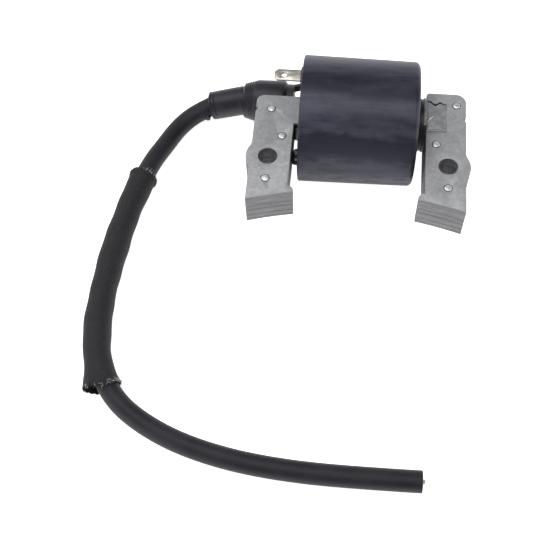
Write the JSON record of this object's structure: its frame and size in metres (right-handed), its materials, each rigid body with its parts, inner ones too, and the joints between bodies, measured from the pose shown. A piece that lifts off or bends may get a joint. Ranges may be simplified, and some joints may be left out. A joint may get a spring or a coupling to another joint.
{
  "type": "ignition coil",
  "caption": "Round potted ignition coil on a laminated steel core with two mounting legs, a blade terminal and a high-tension lead in a braided sleeve.",
  "frame": {"origin": "midway between the two mounting holes, on the rear face of the legs, which seats on the engine's bosses", "axes": "+X along the coil from the open end of the case to its closed end, +Y away from the flywheel, +Z along the mounting bolts towards their heads"},
  "size_m": [0.1262, 0.1517, 0.044],
  "materials": {
    "lamination_steel": "matt grey sheet steel, mottled",
    "rivet_steel": "bright peened steel",
    "varnish": "dark varnish",
    "bobbin_plastic": "black moulded plastic",
    "copper_wire": "enamelled copper",
    "insulation_film": "amber film",
    "circuit_board": "green board",
    "component_black": "black moulding",
    "terminal_tin": "tinned metal",
    "case_plastic": "satin black moulding, scuffed",
    "potting_resin": "black cast resin",
    "tower_plastic": "satin black moulding",
    "boot_rubber": "satin black rubber",
    "lead_rubber": "matt black rubber",
    "braid": "black braided yarn with paler flecks",
    "core_copper": "tinned copper strands"
  },
  "bodies": {
    "root": {"bar_laminations": "lamination_steel", "left_rear_laminations": "lamination_steel", "right_leg_laminations": "lamination_steel", "right_rear_laminations": "lamination_steel", "left_leg_rivets": "rivet_steel", "right_leg_rivets": "rivet_steel", "joint_filler": "varnish", "primary_bobbin": "bobbin_plastic", "primary_winding": "copper_wire", "interlayer_wrap": "insulation_film", "secondary_bobbin": "bobbin_plastic", "secondary_winding": "copper_wire", "trigger_board": "circuit_board", "power_transistor": "component_black", "trigger_transistor": "component_black", "board_resistors": "component_black", "clamp_diode": "component_black", "blade_terminal": "terminal_tin", "blade_seal": "potting_resin", "earth_tab": "potting_resin", "coil_case": "case_plastic", "potting_resin": "potting_resin", "resin_beads": "potting_resin", "lead_tower": "tower_plastic", "tower_strut": "tower_plastic", "tower_boot": "boot_rubber", "ht_contact": "terminal_tin", "lead_collar": "boot_rubber", "lead_inner_end": "lead_rubber", "lead_jacket": "lead_rubber", "braided_sleeve": "braid", "lead_strands": "core_copper"}
  },
  "joints": []
}
